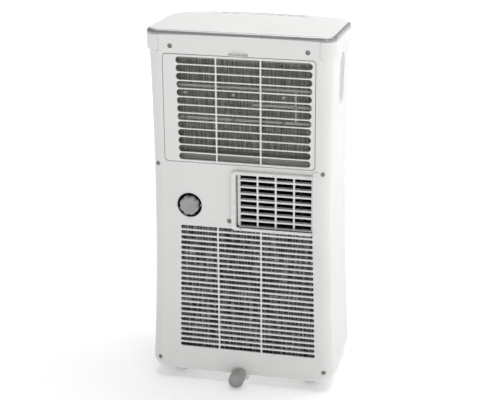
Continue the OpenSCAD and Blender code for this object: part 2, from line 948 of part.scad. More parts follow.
// Straight pipe runs with round elbows from point to point.
module pipe(points, r) {
    for (k = [0:len(points) - 2]) {
        a = points[k];
        d = points[k + 1] - a;
        len_xy = norm([d[0], d[1]]);
        translate(a)
            rotate([0, atan2(len_xy, d[2]), atan2(d[1], d[0])])
                cylinder(h = norm(d), r = r, $fn = 24);
    }
    for (k = [1:len(points) - 2])
        translate(points[k])
            sphere(r = r + 0.4, $fn = 24);
}

module copper_pipes() {
    color("#b87340") {
        pipe([[-58, -40, 261], [-58, -40, 268], [-58, 40, 268], [-120, 40, 268], [-120, 71, 268]], 4);
        pipe([[20, -36, 210.5], [20, -36, 300], [136, -36, 300], [136, -36, 470], [136, 60, 470],
            [123, 60, 470]], 5);
        pipe([[110, 71, 100], [110, 30, 100], [138, 30, 100], [138, 30, 500], [138, 66, 500],
            [123, 66, 500]], 2.5);
    }
}

module control_box() {
    color("#c9c9c4") difference() {
        box([62, -104, 310], [150, -66, 436]);
        box([64.5, -101.5, 312.5], [147.5, -60, 433.5]);
    }
}

// Main board in the control box, and the key board under the control panel.
module circuit_boards() {
    key_z = -panel_t - 7.5;
    color("#2f6b3a") on_lid() {
        box([-88, 5 - panel_half_d, key_z], [88, panel_half_d - 5, key_z + 1.6]);
        for (x = button_xs)
            box([x - 3, -3, key_z + 1.6], [x + 3, 3, key_z + 3.6]);
    }
    color("#2f6b3a") {
        box([68, -94, 318], [144, -92.4, 428]);
        rod_y(84, 400, -92.4, -72, 9);
        box([100, -92.4, 330], [136, -76, 360]);
        rod_y(120, 395, -92.4, -80, 12);
    }
}

module drain_hose() {
    color("#bfc2c0")
        pipe([[drain_x, rear_y - bowl_depth - 22, drain_z], [drain_x, 30, drain_z], [drain_x, 30, 438]], 7);
}

base_pan();
rear_cover();
front_case();
front_panel();
top_cover();
trim_ring();
top_panel();
side_panel_left();
side_panel_right();
lower_grille();
control_panel();
display_window();
button_power();
button_mode();
button_fan();
button_down();
button_up();
filter_grille();
filter_mesh();
inner_guard();
exhaust_frame();
exhaust_grille();
drain_spout();
drain_cap();
drain_strap();
base_drain_cap();
handle_cup_left();
handle_cup_right();
cord_gland();
castor_fork_1();
castor_fork_2();
castor_fork_3();
castor_fork_4();
castor_wheel_1();
castor_wheel_2();
castor_wheel_3();
castor_wheel_4();
outlet_frame();
air_flap_upper();
air_flap_lower();
air_vane_1();
air_vane_2();
air_vane_3();
screws();
compressor();
compressor_feet();
evaporator();
condenser();
coil_bends();
divider_tray();
upper_scroll();
upper_blower();
upper_motor();
lower_scroll();
lower_blower();
lower_motor();
copper_pipes();
control_box();
circuit_boards();
drain_hose();
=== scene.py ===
# Looks of a portable air conditioner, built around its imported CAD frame.
# Frame: metres, +Z up, rear (hose side) +Y, front -Y.

import json
import math
import random

import bmesh
import bpy
from mathutils import Matrix, Vector

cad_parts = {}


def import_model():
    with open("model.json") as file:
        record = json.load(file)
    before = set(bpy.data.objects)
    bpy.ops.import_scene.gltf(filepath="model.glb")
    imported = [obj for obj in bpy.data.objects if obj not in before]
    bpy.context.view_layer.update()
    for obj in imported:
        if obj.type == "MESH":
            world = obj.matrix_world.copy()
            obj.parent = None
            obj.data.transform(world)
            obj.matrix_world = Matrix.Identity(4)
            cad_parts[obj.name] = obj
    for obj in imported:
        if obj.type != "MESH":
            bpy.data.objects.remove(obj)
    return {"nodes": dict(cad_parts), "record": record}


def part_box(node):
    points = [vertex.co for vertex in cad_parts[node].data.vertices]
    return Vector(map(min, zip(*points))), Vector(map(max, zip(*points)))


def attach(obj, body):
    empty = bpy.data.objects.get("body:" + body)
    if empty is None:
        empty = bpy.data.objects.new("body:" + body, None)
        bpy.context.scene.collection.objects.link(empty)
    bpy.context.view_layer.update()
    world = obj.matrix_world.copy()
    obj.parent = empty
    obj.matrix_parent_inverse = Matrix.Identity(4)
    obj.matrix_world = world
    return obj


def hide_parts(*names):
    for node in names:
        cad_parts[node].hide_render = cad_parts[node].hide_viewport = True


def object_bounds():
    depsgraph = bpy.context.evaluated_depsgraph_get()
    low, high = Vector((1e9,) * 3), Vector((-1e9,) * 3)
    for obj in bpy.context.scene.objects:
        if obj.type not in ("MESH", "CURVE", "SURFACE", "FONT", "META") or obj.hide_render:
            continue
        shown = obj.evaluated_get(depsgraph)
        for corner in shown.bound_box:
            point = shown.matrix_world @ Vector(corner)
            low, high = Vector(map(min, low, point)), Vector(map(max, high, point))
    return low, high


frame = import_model()
cad_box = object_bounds()

MM = 0.001  # a length in millimetres times MM is in metres

# ---------------------------------------------------------------- sizes from the frame, in metres

REAR_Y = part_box("filter_grille")[1].y
FRONT_Y = cad_box[0].y
SEAM_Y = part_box("side_panel_left")[0].y
BASE_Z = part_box("rear_cover")[0].z
SKIRT_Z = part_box("front_case")[1].z
DECK_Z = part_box("top_cover")[1].z
TRIM_TOP_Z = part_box("trim_ring")[1].z
TRIM_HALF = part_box("trim_ring")[1].x
SKIRT_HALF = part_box("top_cover")[1].x
FOOT_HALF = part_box("rear_cover")[1].x
TOP_FALL = DECK_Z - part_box("trim_ring")[0].z
BODY_D = REAR_Y - FRONT_Y

# ---------------------------------------------------------------- shape of the casing, in metres

WAIST_HALF = 166.5 * MM  # half width where the casing is pinched
CROWN_HALF = 170 * MM  # half width under the top cover
WAIST_Z = 420 * MM
WALL = 3 * MM
REAR_R = 24 * MM  # rear corners in plan
FRONT_R = 48 * MM  # front corners in plan
TOP_R = 62 * MM  # front corners of the trim and the lid
BOW = 22 * MM  # how far the middle of the front stands out
BOW_R = (FOOT_HALF ** 2 + BOW ** 2) / (2 * BOW)
FOOT_R = 17 * MM  # rounding of the two sides at the foot
HEM_R = 3 * MM  # smaller rounding all round the foot
ARCH = 2.2 * MM  # rise of the top's middle over its two sides
DOME = 4.2 * MM  # rise of the lid over the line of the trim
STRIP_HALF = 147.5 * MM  # half width of the strip under the trim
GAP = 0.7 * MM  # seam between the side panels and the front case
FLOOR_Z = 37 * MM  # underside of the base pan's floor plate
RIM_TOP = 58 * MM
PANEL_HALF = 136 * MM  # the front panel
PANEL_Z = (64 * MM, 556 * MM)
OUTLET_HALF = 125.4 * MM  # the front air outlet's opening
OUTLET_Z = (578.6 * MM, 645.4 * MM)
SIDE_CUT = (150 * MM, 200 * MM)  # x range of a cutter through one side wall
FIN_PITCH = 1.9 * MM

# ---------------------------------------------------------------- places on the rear, in millimetres

DOOR_TAB = 4  # how far the filter door's tabs reach below it
DOOR_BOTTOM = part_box("filter_grille")[0].z / MM + DOOR_TAB
DRAIN = (95.4, 360)  # centre of the middle drain, x and z
BASE_DRAIN = (4, 18)  # centre of the bottom drain
EXHAUST = (-136.5, 5.6, 322, 431)  # hole behind the exhaust grille: x0, x1, z0, z1
SLOT_CORNER = 0.6  # corner radius where a slot meets an upright
FILTER_SLOTS = dict(
    columns=((-134.8, -42), (-39, 40.3), (43.3, 116.1)),
    rows=13, top=636.1, pitch=15.08, height=12.6, spread=-3, end_r=6.2, depth=5, edge=0.7,
)
COIL_SLOTS = dict(
    columns=((-137.5, -42.1), (-38.9, 40.2), (43.4, 112.4)),
    rows=24, top=316.1, pitch=10.53, height=7.0, spread=6.5, end_r=2.4, depth=6, edge=0.8,
)
GUARD_RAILS = (586.9, 556.5, 526.2)  # heights of the inner guard's rails
GUARD_NUB_X = (103, 13, -80)
GUARD_NUB_Z = (573, 526)
GUARD_UPRIGHT_X = -102
SCREWS = (
    (126, 661.3), (-126, 661.3), (155, 437), (-155, 437), (19.4, 334.6), (161, 41), (-161, 41),
)

# ---------------------------------------------------------------- view and light

CAMERA_AT = (-0.58864, 2.46390, 1.26232)
CAMERA_PAN, CAMERA_DIP, CAMERA_ROLL = 0.2363, 0.3489, 0.0062  # radians
CAMERA_LENS, CAMERA_SENSOR = 101.39, 36  # millimetres
FLOOR_GLOW = (0.3, 0.9)  # emission near the object and far from it
FLOOR_REACH = (0.5, 2.4)  # distances between which the floor's glow rises
HORIZON_GLOW, ZENITH_GLOW = 1.05, 0.22


def half_width(z):
    """Half of the casing's width at height z: pinched at the waist, flared at the foot."""
    if z > WAIST_Z:
        return WAIST_HALF + (CROWN_HALF - WAIST_HALF) * ((z - WAIST_Z) / (SKIRT_Z - WAIST_Z)) ** 2
    return WAIST_HALF + (FOOT_HALF - WAIST_HALF) * ((WAIST_Z - z) / (WAIST_Z - BASE_Z)) ** 2


def rounding(z, r):
    """How far an edge of radius r at the foot pulls in at height z."""
    rise = z - BASE_Z
    if rise >= r:
        return 0.0
    return r - math.sqrt(max(r * r - (r - rise) ** 2, 0.0))


def top_line(z_rear, x, y):
    """A line of the top, at z_rear at the rear corners: arched across, falling to the front."""
    return z_rear - TOP_FALL * ((REAR_Y - y) / BODY_D) ** 2 + ARCH * (1 - (x / TRIM_HALF) ** 2)


def bow_y(x, inset=0.0):
    """Where the bowed front is at x, moved inwards by inset."""
    return FRONT_Y + BOW_R - math.sqrt((BOW_R - inset) ** 2 - x * x)


# ---------------------------------------------------------------- mesh helpers

def evenly(start, end, steps):
    return [start + (end - start) * k / steps for k in range(steps + 1)]


def along_x(outline, *xs):
    """Copies of a YZ outline at each x, as rings for a loft."""
    return [[(x, y, z) for y, z in outline] for x in xs]


def along_y(outline, *ys):
    """Copies of an XZ outline at each y."""
    return [[(x, y, z) for x, z in outline] for y in ys]


def along_z(outline, *zs):
    """Copies of an XY outline at each z."""
    return [[(x, y, z) for x, y in outline] for z in zs]
def mesh_object(name, bm):
    """Links a new object made from bm, and frees bm."""
    bmesh.ops.recalc_face_normals(bm, faces=bm.faces)
    mesh = bpy.data.meshes.new(name)
    bm.to_mesh(mesh)
    bm.free()
    obj = bpy.data.objects.new(name, mesh)
    bpy.context.scene.collection.objects.link(obj)
    return obj


def loft(bm, rings, closed=False):
    """Skins a run of outlines; the two ends are capped, or joined to each other if closed."""
    rows = [[bm.verts.new(p) for p in ring] for ring in rings]
    pairs = list(zip(rows, rows[1:]))
    if closed:
        pairs.append((rows[-1], rows[0]))
    for low, high in pairs:
        for k in range(len(low)):
            n = (k + 1) % len(low)
            bm.faces.new((low[k], low[n], high[n], high[k]))
    if not closed:
        bm.faces.new(rows[0][::-1])
        bm.faces.new(rows[-1])


def lofted(name, rings, closed=False):
    bm = bmesh.new()
    loft(bm, rings, closed)
    return mesh_object(name, bm)


def block(bm, lo, hi):
    """Box between two corners."""
    (x0, y0, z0), (x1, y1, z1) = lo, hi
    loft(bm, along_z([(x0, y0), (x1, y0), (x1, y1), (x0, y1)], z0, z1))


def block_object(name, lo, hi):
    bm = bmesh.new()
    block(bm, lo, hi)
    return mesh_object(name, bm)


def combine(obj, other, operation="DIFFERENCE", solver="MANIFOLD"):
    """Cuts other out of obj, or joins them, and removes other."""
    modifier = obj.modifiers.new("combine", "BOOLEAN")
    modifier.solver = solver
    modifier.operation = operation
    modifier.object = other
    bpy.context.view_layer.update()
    depsgraph = bpy.context.evaluated_depsgraph_get()
    result = bpy.data.meshes.new_from_object(obj.evaluated_get(depsgraph))
    obj.modifiers.clear()
    obj.data = result
    bpy.data.objects.remove(other)
    return obj


def finish_shape(obj, angle=32, bevel=0.0):
    """Smooth shading that keeps edges sharper than angle, and an optional small bevel."""
    if bevel:
        edge = obj.modifiers.new("edges", "BEVEL")
        edge.width = bevel
        edge.segments = 2
        edge.limit_method = "ANGLE"
        edge.angle_limit = math.radians(angle)
    obj.data.shade_smooth()
    obj.data.set_sharp_from_angle(angle=math.radians(angle))
    weigh = obj.modifiers.new("normals", "WEIGHTED_NORMAL")
    weigh.keep_sharp = True
    return obj


def arc(cx, cy, r, a0, a1, steps):
    """Points on an arc from a0 to a1 degrees, with both ends."""
    turns = [math.radians(angle) for angle in evenly(a0, a1, steps)]
    return [(cx + r * math.cos(turn), cy + r * math.sin(turn)) for turn in turns]


def circle(cx, cy, r, sides):
    return arc(cx, cy, r, 0, 360 - 360 / sides, sides - 1)


def plan(half, inset, front_r=FRONT_R):
    """Footprint at one height: flat rear, round corners, bowed front."""
    xc = half - front_r
    bow_cy = FRONT_Y + BOW_R
    yc = bow_cy - math.sqrt((BOW_R - front_r) ** 2 - xc ** 2)
    turn = math.degrees(math.asin(xc / (BOW_R - front_r)))
    bow = arc(0, bow_cy, BOW_R - inset, -90, turn - 90, 12)
    front = arc(xc, yc, front_r - inset, turn - 90, 0, 10)
    rear = arc(half - REAR_R, REAR_Y - REAR_R, max(REAR_R - inset, 0.2 * MM), 0, 90, 10)
    right = bow[1:-1] + front + rear
    return [bow[0]] + right + [(-x, y) for x, y in reversed(right)]


def plan_ring(half, inset, z):
    return [(x, y, z) for x, y in plan(half, inset)]


def top_ring(half, inset, z_rear):
    """Plan outline whose height follows the sloping, arched top."""
    return [(x, y, top_line(z_rear, x, y)) for x, y in plan(half, inset, TOP_R)]


def round_rect(x0, x1, z0, z1, r_left, r_right, grow):
    """XZ outline of a rectangle with round corners, r_left at its x0 end, larger by grow all round."""
    steps = 6
    left, right = r_left + grow, r_right + grow
    x0, x1, z0, z1 = x0 - grow, x1 + grow, z0 - grow, z1 + grow
    return (arc(x1 - right, z0 + right, right, -90, 0, steps)
            + arc(x1 - right, z1 - right, right, 0, 90, steps)
            + arc(x0 + left, z1 - left, left, 90, 180, steps)
            + arc(x0 + left, z0 + left, left, 180, 270, steps))


def disc(x, z, r, grow=0.0):
    return circle(x, z, r + grow, 40)


# Rounded mouth of a hole, as shares of its radius: how far out, how far into the face.
HOLE_ROUND = ((1, 0), (0.62, 0.08), (0.29, 0.29), (0.08, 0.62), (0, 1))
# Rounded edge of a boss: how far in, how far below its face.
BOSS_ROUND = ((0, 1), (0.08, 0.38), (0.29, 0.261), (0.62, 0.08), (1, 0))


def hole(bm, outline, y, depth, edge):
    """Cutter with a flared mouth, so that the hole it cuts at face y has a rounded edge."""
    mouth = [(edge * out, -edge * into) for out, into in HOLE_ROUND]
    rings = [(edge, 3 * MM)] + mouth + [(0, -depth)]
    loft(bm, [[(x, y + dy, z) for x, z in outline(grow)] for grow, dy in rings])


def boss(bm, outline, y0, y1, edge):
    """Raised shape from y0 out to y1 with a rounded outer edge."""
    rings = [(0, y0)] + [(-edge * into, y1 - edge * below) for into, below in BOSS_ROUND]
    loft(bm, [[(x, y, z) for x, z in outline(grow)] for grow, y in rings])


def boss_object(name, outline, y0, y1, edge):
    bm = bmesh.new()
    boss(bm, outline, y0, y1, edge)
    return mesh_object(name, bm)


def holes_object(name, specs):
    """One cutter made of several separate holes: (outline, y, depth, edge)."""
    bm = bmesh.new()
    for spec in specs:
        hole(bm, *spec)
    return mesh_object(name, bm)


def rect_hole(x0, x1, z0, z1, r_left, r_right=None):
    """Outline function of a rectangle given in millimetres."""
    r_right = r_left if r_right is None else r_right
    return lambda grow: round_rect(x0 * MM, x1 * MM, z0 * MM, z1 * MM, r_left * MM, r_right * MM, grow)


def disc_hole(x, z, r):
    """Outline function of a circle given in millimetres."""
    return lambda grow: disc(x * MM, z * MM, r * MM, grow)


def slot_specs(columns, rows, top, pitch, height, spread, end_r, depth, edge):
    """Rows of slots in the rear face: a row's outer ends are round, and move out by spread downwards."""
    specs = []
    last = len(columns) - 1
    for k in range(rows):
        z = top - k * pitch
        grow = spread * k / rows
        for c, (x0, x1) in enumerate(columns):
            left = end_r if c == 0 else SLOT_CORNER
            right = end_r if c == last else SLOT_CORNER
            x0 = x0 - grow if c == 0 else x0
            x1 = x1 + grow if c == last else x1
            slot = rect_hole(x0, x1, z - height / 2, z + height / 2, left, right)
            specs.append((slot, REAR_Y, depth * MM, edge * MM))
    return specs


# ---------------------------------------------------------------- materials

def srgb(r, g, b):
    """Linear colour from 0-255 display values."""
    return tuple(((c / 255 + 0.055) / 1.055) ** 2.4 if c > 10 else c / 3294.6 for c in (r, g, b))


class Nodes:
    """Small helper that builds one material's node tree."""

    def __init__(self, name):
        self.material = bpy.data.materials.new(name)
        self.material.use_nodes = True
        self.tree = self.material.node_tree
        self.shader = self.tree.nodes["Principled BSDF"]
        self.place = self.add("ShaderNodeTexCoord").outputs["Object"]

    def add(self, kind, **values):
        node = self.tree.nodes.new(kind)
        for name, value in values.items():
            setattr(node, name, value)
        return node

    def link(self, a, b):
        self.tree.links.new(a, b)

    def stretched(self, scale):
        mapping = self.add("ShaderNodeMapping")
        mapping.inputs["Scale"].default_value = scale
        self.link(self.place, mapping.inputs["Vector"])
        return mapping.outputs["Vector"]

    def noise(self, scale, detail, vector=None):
        node = self.add("ShaderNodeTexNoise")
        node.inputs["Scale"].default_value = scale
        node.inputs["Detail"].default_value = detail
        self.link(vector or self.place, node.inputs["Vector"])
        return node.outputs["Fac"]

    def remap(self, value, low, high, start=0.3, end=0.7):
        node = self.add("ShaderNodeMapRange")
        node.inputs["From Min"].default_value = start
        node.inputs["From Max"].default_value = end
        node.inputs["To Min"].default_value = low
        node.inputs["To Max"].default_value = high
        self.link(value, node.inputs["Value"])
        return node.outputs["Result"]

    def blend(self, value, color_a, color_b, start=0.3, end=0.7):
        ramp = self.add("ShaderNodeValToRGB")
        ramp.color_ramp.elements[0].position = start
        ramp.color_ramp.elements[1].position = end
        ramp.color_ramp.elements[0].color = (*color_a, 1)
        ramp.color_ramp.elements[1].color = (*color_b, 1)
        self.link(value, ramp.inputs["Fac"])
        return ramp.outputs["Color"]

    def color(self, socket):
        self.link(socket, self.shader.inputs["Base Color"])

    def roughness(self, socket):
        self.link(socket, self.shader.inputs["Roughness"])

    def bump(self, height, strength, distance):
        node = self.add("ShaderNodeBump")
        node.inputs["Strength"].default_value = strength
        node.inputs["Distance"].default_value = distance
        self.link(height, node.inputs["Height"])
        self.link(node.outputs["Normal"], self.shader.inputs["Normal"])


def shade(color, factor):
    """The same hue, darker or lighter."""
    return tuple(c * factor for c in color)


def moulded(name, color, rough=0.42, spread=0.03, grain=1400, strength=0.18, specular=0.5):
    """Injection-moulded plastic: fine spark texture, slight tint drift and smears of gloss."""
    n = Nodes(name)
    n.shader.inputs["Specular IOR Level"].default_value = specular
    n.color(n.blend(n.noise(9, 4), shade(color, 1 - spread), shade(color, 1 + spread * 0.4)))
    n.roughness(n.remap(n.noise(38, 5), rough - 0.06, rough + 0.07))
    n.bump(n.noise(grain, 2), strength, 0.04 * MM)
    return n.material


def painted_silver():
    """Silver paint with fine metal flake."""
    n = Nodes("silver_paint")
    n.shader.inputs["Metallic"].default_value = 0.5
    n.shader.inputs["Coat Weight"].default_value = 0.4
    n.shader.inputs["Coat Roughness"].default_value = 0.12
    n.color(n.blend(n.noise(5200, 1), srgb(146, 147, 148), srgb(180, 181, 182), 0.35, 0.65))
    n.roughness(n.remap(n.noise(60, 4), 0.26, 0.38))
    n.bump(n.noise(3000, 1), 0.08, 0.02 * MM)
    return n.material


def rubber(name, color):
    """Moulded rubber, matt and slightly mottled with dust."""
    n = Nodes(name)
    n.shader.inputs["Specular IOR Level"].default_value = 0.35
    n.color(n.blend(n.noise(70, 6), shade(color, 0.86), shade(color, 1.1)))
    n.roughness(n.remap(n.noise(120, 4), 0.55, 0.8))
    n.bump(n.noise(900, 3), 0.35, 0.08 * MM)
    return n.material


def brushed(name, color, scale, rough=(0.25, 0.45)):
    """Metal with a grain, which an uneven scale draws out along one axis."""
    n = Nodes(name)
    n.shader.inputs["Metallic"].default_value = 1.0
    grain = n.noise(1.0, 3, n.stretched(scale))
    n.color(n.blend(grain, shade(color, 0.8), shade(color, 1.12)))
    n.roughness(n.remap(grain, *rough))
    n.bump(grain, 0.15, 0.03 * MM)
    return n.material


def fin_stock():
    """Aluminium fins in streaks of grey: the dark grey is painted shade of fins in shadow, the near white
    streaks painted glints on bent fins.
    """
    n = Nodes("fin_stock")
    n.shader.inputs["Metallic"].default_value = 0.55
    glint_streak = n.noise(1.0, 5, n.stretched((420, 60, 26)))
    # Painted shade and painted highlight: dark grey for shadowed fins, near white streaks for glints on
    # bent fins.
    n.color(n.blend(glint_streak, srgb(116, 117, 116), srgb(240, 241, 240), 0.4, 0.62))
    n.roughness(n.remap(glint_streak, 0.42, 0.66))
    n.bump(glint_streak, 0.3, 0.15 * MM)
    return n.material


def spangle():
    """Galvanised sheet with faint crystals."""
    n = Nodes("spangle")
    n.shader.inputs["Metallic"].default_value = 0.9
    cells = n.add("ShaderNodeTexVoronoi")
    cells.inputs["Scale"].default_value = 130
    n.link(n.place, cells.inputs["Vector"])
    n.color(n.blend(cells.outputs["Distance"], srgb(170, 172, 172), srgb(205, 206, 204), 0.0, 0.6))
    n.roughness(n.remap(cells.outputs["Distance"], 0.28, 0.5, 0, 0.6))
    n.bump(n.noise(60, 3), 0.1, 0.1 * MM)
    return n.material


def circuit():
    """Green board with a pattern of traces."""
    n = Nodes("circuit")
    traces = n.add("ShaderNodeTexBrick")
    traces.inputs["Scale"].default_value = 160
    traces.inputs["Color1"].default_value = (*srgb(24, 92, 48), 1)
    traces.inputs["Color2"].default_value = (*srgb(30, 104, 56), 1)
    traces.inputs["Mortar"].default_value = (*srgb(120, 150, 90), 1)
    traces.inputs["Mortar Size"].default_value = 0.03
    n.link(n.place, traces.inputs["Vector"])
    n.color(traces.outputs["Color"])
    n.roughness(n.remap(n.noise(200, 2), 0.3, 0.5))
    n.bump(traces.outputs["Fac"], 0.2, 0.05 * MM)
    return n.material


def smoked():
    """Gloss display cover, faintly tinted, with dust in the gloss."""
    n = Nodes("smoked_cover")
    n.shader.inputs["Coat Weight"].default_value = 0.6
    n.shader.inputs["Coat Roughness"].default_value = 0.05
    n.color(n.blend(n.noise(45, 4), srgb(128, 131, 134), srgb(150, 152, 154)))
    n.roughness(n.remap(n.noise(160, 3), 0.08, 0.2))
    n.bump(n.noise(400, 2), 0.03, 0.02 * MM)
    return n.material


def enamel():
    """Black enamel over pressed steel, with a little orange peel."""
    n = Nodes("enamel")
    n.shader.inputs["Coat Weight"].default_value = 0.5
    n.shader.inputs["Coat Roughness"].default_value = 0.2
    n.color(n.blend(n.noise(30, 4), srgb(18, 18, 20), srgb(44, 44, 46)))
    n.roughness(n.remap(n.noise(80, 3), 0.3, 0.5))
    n.bump(n.noise(500, 2), 0.25, 0.08 * MM)
    return n.material


MATERIALS = {
    "casing": moulded("white_plastic", srgb(236, 236, 234)),
    "silver_trim": painted_silver(),
    "panel_grey": moulded(
        "panel_plastic", srgb(230, 230, 229), rough=0.3, grain=2200, strength=0.08),
    "smoked_lens": smoked(),
    "filter_net": moulded(
        "net_nylon", srgb(158, 153, 146), rough=0.6, spread=0.2, grain=2600, strength=0.4),
    "rubber_grey": rubber("grey_rubber", srgb(166, 166, 164)),
    "rubber_black": rubber("black_rubber", srgb(34, 34, 35)),
    "castor_plastic": moulded("castor_nylon", srgb(38, 38, 40), rough=0.5, spread=0.1),
    "screw_steel": brushed("zinc_plate", srgb(138, 138, 136), (900, 900, 900)),
    "black_enamel": enamel(),
    "coil_fins": fin_stock(),
    "copper": brushed("copper_tube", srgb(196, 120, 84), (60, 60, 500), rough=(0.2, 0.5)),
    # Near black: painted shade, so the scroll behind the exhaust grille stands in for the dark inside of
    # the casing.
    "scroll_plastic": moulded(
        "scroll_painted_shade", srgb(30, 30, 31), rough=0.45, spread=0.2, grain=700, strength=0.3),
    "zinc_sheet": spangle(),
    "board": circuit(),
}


def paint(obj, slot):
    """Gives the whole of obj the material of one slot."""
    obj.data.materials.clear()
    obj.data.materials.append(MATERIALS[slot])
    for face in obj.data.polygons:
        face.material_index = 0
    return obj


def place(obj, *nodes, body="casing", slot="casing"):
    """obj stands for one or more CAD nodes: same body, same finish."""
    paint(obj, slot)
    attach(obj, body)
    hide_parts(*nodes)
    return obj
def extra(obj, slot):
    """obj stands for no CAD node, and rides on the casing."""
    paint(obj, slot)
    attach(obj, "casing")
# ---------------------------------------------------------------- casings

def casing_levels(z0, z1):
    """Heights for the casing's outlines, closer together over the rounded foot."""
    shares = (0.0, 0.01, 0.04, 0.09, 0.17, 0.28, 0.42, 0.58, 0.78, 1.0)
    near = [BASE_Z + FOOT_R * share for share in shares]
    far = evenly(near[-1], SKIRT_Z, 30)[1:]
    inside = [z for z in near + far if z0 < z < z1]
    return [z0] + inside + [z1]


def casing_solid(name, inset, z0, z1):
    """Solid of the casing's outer shape, smaller by inset all round."""
    rings = []
    for z in casing_levels(z0, z1):
        shape_z = min(max(z, BASE_Z), SKIRT_Z)
        half = half_width(shape_z) - rounding(shape_z, FOOT_R)
        rings.append(plan_ring(half, inset + rounding(shape_z, HEM_R), z))
    return lofted(name, rings)


def casing_shell(name, y0, y1):
    """The casing's wall between y0 and y1: keep is a block wider and taller than the casing."""
    shell = casing_solid(name, 0.0, BASE_Z, SKIRT_Z)
    combine(shell, casing_solid("inner", WALL, BASE_Z - 2 * MM, SKIRT_Z + 2 * MM))
    keep = block_object("keep", (-0.3, y0, 0), (0.3, y1, 1))
    return combine(shell, keep, "INTERSECT")


def top_strip():
    """The rear cover's strip under the trim: its upper edge follows the arch."""
    xs = evenly(-STRIP_HALF, STRIP_HALF, 24)
    low = SKIRT_Z - 2 * MM
    upper = [(x, top_line(DECK_Z - 0.2 * MM, x, REAR_Y)) for x in xs]
    outline = [(-STRIP_HALF, low)] + upper + [(STRIP_HALF, low)]
    return lofted("strip", along_y(outline, REAR_Y - WALL, REAR_Y))


def exhaust_pad():
    """Raised pad beside the exhaust frame's open side."""
    outline = rect_hole(-148, -137, 320, 441, 2)
    return boss_object("pad", outline, REAR_Y - 1 * MM, REAR_Y + 2 * MM, 0.9 * MM)


def rear_cups():
    """Stock behind the face for the drain's bowl and the finger notch."""
    bowl = disc_hole(*DRAIN, 25.5)
    bm = bmesh.new()
    loft(bm, along_y(bowl(0), REAR_Y - 18 * MM, REAR_Y - 1 * MM))
    block(bm, (-23 * MM, REAR_Y - 8 * MM, 647.3 * MM), (23 * MM, REAR_Y - 1 * MM, 666 * MM))
    return mesh_object("cups", bm)


def rear_openings():
    """The louvres, the filter door's recess, the outlet and the bottom drain's hole."""
    specs = slot_specs(**COIL_SLOTS)
    specs.append((rect_hole(-141, 141, DOOR_BOTTOM - 1, 647.6, 6.8), REAR_Y, 12 * MM, 0.6 * MM))
    specs.append((rect_hole(*EXHAUST, 1.5), REAR_Y, 6 * MM, 0.4 * MM))
    specs.append((disc_hole(*BASE_DRAIN, 17), REAR_Y, 6 * MM, 0.6 * MM))
    return holes_object("openings", specs)


def rear_dishes():
    """The drain's bowl and the screws' recesses."""
    specs = [(disc_hole(*DRAIN, 23.5), REAR_Y, 16 * MM, 1.6 * MM)]
    specs += [(disc_hole(x, z, 4.4), REAR_Y, 4.8 * MM, 0.6 * MM) for x, z in SCREWS]
    return holes_object("dishes", specs)


def frame_seam():
    """Shallow groove round the exhaust frame."""
    lo, hi = (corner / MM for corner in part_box("exhaust_frame"))
    seam = rect_hole(lo.x + 0.4, hi.x + 1, lo.z - 1, hi.z + 1, 0.8, 9)
    return holes_object("frame_seam", [(seam, REAR_Y, 1.5 * MM, 0.2 * MM)])


def through_holes():
    """Holes for the drain's spout and the screws' shanks."""
    specs = [(disc_hole(*DRAIN, 10.2), REAR_Y, 30 * MM, 0.1 * MM)]
    specs += [(disc_hole(x, z, 2), REAR_Y, 14 * MM, 0.1 * MM) for x, z in SCREWS]
    return holes_object("through", specs)


def rear_cover():
    """Rear skin: the rear cover, both side panels and the louvred grille in one."""
    cover = casing_shell("rear_cover_shell", SEAM_Y, REAR_Y + 10 * MM)
    for added in (top_strip, exhaust_pad, rear_cups):
        combine(cover, added(), "UNION")
    for cutter in (rear_openings, rear_dishes, frame_seam, through_holes, notch_cutter, handle_cutter):
        combine(cover, cutter())
    return place(
        finish_shape(cover), "rear_cover", "side_panel_left", "side_panel_right", "lower_grille")


def notch_cutter():
    """Half-moon finger notch over the filter door."""
    centre_z, r = 642.5 * MM, 20 * MM
    low = 648.6 * MM
    start = math.degrees(math.asin((low - centre_z) / r))

    def outline(grow):
        return arc(0, centre_z, r + grow, start, 180 - start, 24)

    return holes_object("notch", [(outline, REAR_Y, 6 * MM, 0.6 * MM)])


def stadium(grow):
    """Outline of the side grip in the YZ plane."""
    lo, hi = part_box("handle_cup_left")
    half = (hi.y - lo.y) / 2
    reach = (hi.z - lo.z) / 2 - half
    r = half + grow
    cy, cz = (lo.y + hi.y) / 2, (lo.z + hi.z) / 2
    return arc(cy, cz + reach, r, 0, 180, 20) + arc(cy, cz - reach, r, 180, 360, 20)


def handle_cutter():
    """Holes for the two side grips."""
    bm = bmesh.new()
    for side in (-1, 1):
        loft(bm, along_x(stadium(0.3 * MM), *(side * x for x in SIDE_CUT)))
    return mesh_object("grips", bm)


def gland_cutter():
    """Hole for the power cord's gland."""
    centre = sum(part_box("cord_gland"), Vector()) / 2
    return lofted("gland_hole", along_x(circle(centre.y, centre.z, 7.1 * MM, 36), *SIDE_CUT))


def front_case():
    """Front half of the casing, with the recesses for the air outlet and the front panel."""
    case = casing_shell("front_case_shell", FRONT_Y - 10 * MM, SEAM_Y - GAP)
    combine(case, block_object("outlet", (-OUTLET_HALF, FRONT_Y - 5 * MM, OUTLET_Z[0]),
                               (OUTLET_HALF, FRONT_Y + 60 * MM, OUTLET_Z[1])))
    combine(case, panel_slab("recess", 1.5 * MM, 0.6 * MM, 4 * MM))
    combine(case, gland_cutter())
    return place(finish_shape(case, bevel=0.25 * MM), "front_case")


def panel_slab(name, depth, grow=0.0, out=0.0):
    """The bowed front panel's solid: depth into the face, out beyond it, larger by grow."""
    xs = evenly(-PANEL_HALF - grow, PANEL_HALF + grow, 32)
    outer = [(x, bow_y(x, -out)) for x in xs]
    inner = [(x, bow_y(x, depth)) for x in reversed(xs)]
    return lofted(name, along_z(outer + inner, PANEL_Z[0] - grow, PANEL_Z[1] + grow))


def front_panel():
    panel = panel_slab("front_panel_skin", 1.4 * MM)
    return place(finish_shape(panel, bevel=0.5 * MM), "front_panel")


